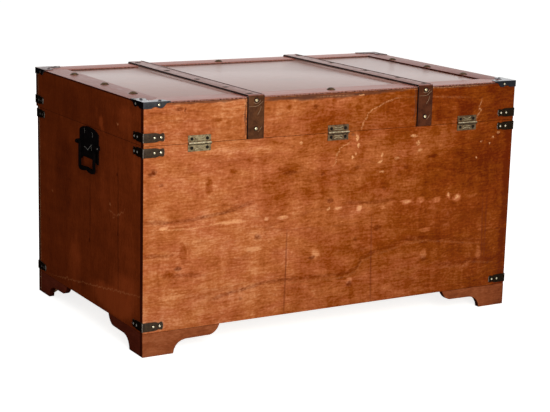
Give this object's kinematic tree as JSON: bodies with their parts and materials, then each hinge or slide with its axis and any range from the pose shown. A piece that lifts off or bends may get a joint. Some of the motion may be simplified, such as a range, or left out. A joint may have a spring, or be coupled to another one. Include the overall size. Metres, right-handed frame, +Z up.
{
  "type": "sea chest",
  "caption": "Flat-topped wooden storage chest with a hinged lid, applied lid frame, two bands, metal corners, drop handles, bracket feet and a front catch.",
  "frame": {"origin": "on the floor under the centre of the whole chest's box, handles, hinges and catch included", "axes": "+Z up, -Y out of the front with the catch, +Y out of the back with the hinges, +X along the chest to its right-hand end seen from the front"},
  "size_m": [0.9216, 0.5696, 0.5123],
  "materials": {
    "stained_board": "orange-brown stained veneer, satin lacquer",
    "end_board": "dark red-brown stained veneer, satin lacquer",
    "top_panel": "stained veneer under glossy lacquer",
    "top_frame": "stained wood under glossy lacquer",
    "raw_board": "bare plywood and softwood",
    "band": "worn brown leathercloth",
    "cap_steel": "black lacquered pressed steel",
    "strap_steel": "antiqued dark bronze pressed steel",
    "hinge_brass": "dull antique brass plate",
    "catch_brass": "dull antique brass plate",
    "handle_iron": "black painted iron"
  },
  "bodies": {
    "case": {"front_panel": "stained_board", "back_panel": "stained_board", "right_panel": "end_board", "left_panel": "end_board", "bottom_panel": "raw_board", "foot_front_right_front_board": "stained_board", "foot_front_right_side_board": "end_board", "foot_front_right_block": "raw_board", "foot_front_left_front_board": "stained_board", "foot_front_left_side_board": "end_board", "foot_front_left_block": "raw_board", "foot_back_right_back_board": "stained_board", "foot_back_right_side_board": "end_board", "foot_back_right_block": "raw_board", "foot_back_left_back_board": "stained_board", "foot_back_left_side_board": "end_board", "foot_back_left_block": "raw_board", "upper_strap_front_right": "strap_steel", "upper_strap_front_left": "strap_steel", "upper_strap_back_right": "strap_steel", "upper_strap_back_left": "strap_steel", "foot_strap_front_right": "strap_steel", "foot_strap_front_left": "strap_steel", "foot_strap_back_right": "strap_steel", "foot_strap_back_left": "strap_steel", "hinge_right_lower_leaf": "hinge_brass", "hinge_right_pin": "hinge_brass", "hinge_centre_lower_leaf": "hinge_brass", "hinge_centre_pin": "hinge_brass", "hinge_left_lower_leaf": "hinge_brass", "hinge_left_pin": "hinge_brass", "handle_right_plate": "handle_iron", "handle_left_plate": "handle_iron", "catch_plate": "catch_brass"},
    "lid": {"lid_front_panel": "stained_board", "lid_back_panel": "stained_board", "lid_right_panel": "end_board", "lid_left_panel": "end_board", "lid_top_panel": "top_panel", "top_frame_front": "top_frame", "top_frame_back": "top_frame", "top_frame_right": "top_frame", "top_frame_left": "top_frame", "lid_strap_front_right": "strap_steel", "lid_strap_front_left": "strap_steel", "lid_strap_back_right": "strap_steel", "lid_strap_back_left": "strap_steel", "corner_cap_front_right": "cap_steel", "corner_cap_front_left": "cap_steel", "corner_cap_back_right": "cap_steel", "corner_cap_back_left": "cap_steel", "band_right": "band", "band_left": "band", "hinge_right_upper_leaf": "hinge_brass", "hinge_centre_upper_leaf": "hinge_brass", "hinge_left_upper_leaf": "hinge_brass", "catch_keeper": "catch_brass"},
    "right_bail": {"handle_right_bail": "handle_iron"},
    "left_bail": {"handle_left_bail": "handle_iron"},
    "catch": {"catch_tongue": "catch_brass"}
  },
  "joints": [
    {"name": "lid_hinge", "type": "hinge", "parent": "case", "child": "lid", "pos_m": [0, 0.2818, 0.423], "axis": [-1, 0, 0], "range_deg": [0, 110]},
    {"name": "right_bail_pivot", "type": "hinge", "parent": "case", "child": "right_bail", "pos_m": [0.4563, 0.0205, 0.385], "axis": [0, -1, 0], "range_deg": [0, 95]},
    {"name": "left_bail_pivot", "type": "hinge", "parent": "case", "child": "left_bail", "pos_m": [-0.4563, 0.0205, 0.385], "axis": [0, 1, 0], "range_deg": [0, 95]},
    {"name": "catch_pivot", "type": "hinge", "parent": "case", "child": "catch", "pos_m": [0, -0.2815, 0.4002], "axis": [-1, 0, 0], "range_deg": [0, 180]}
  ]
}
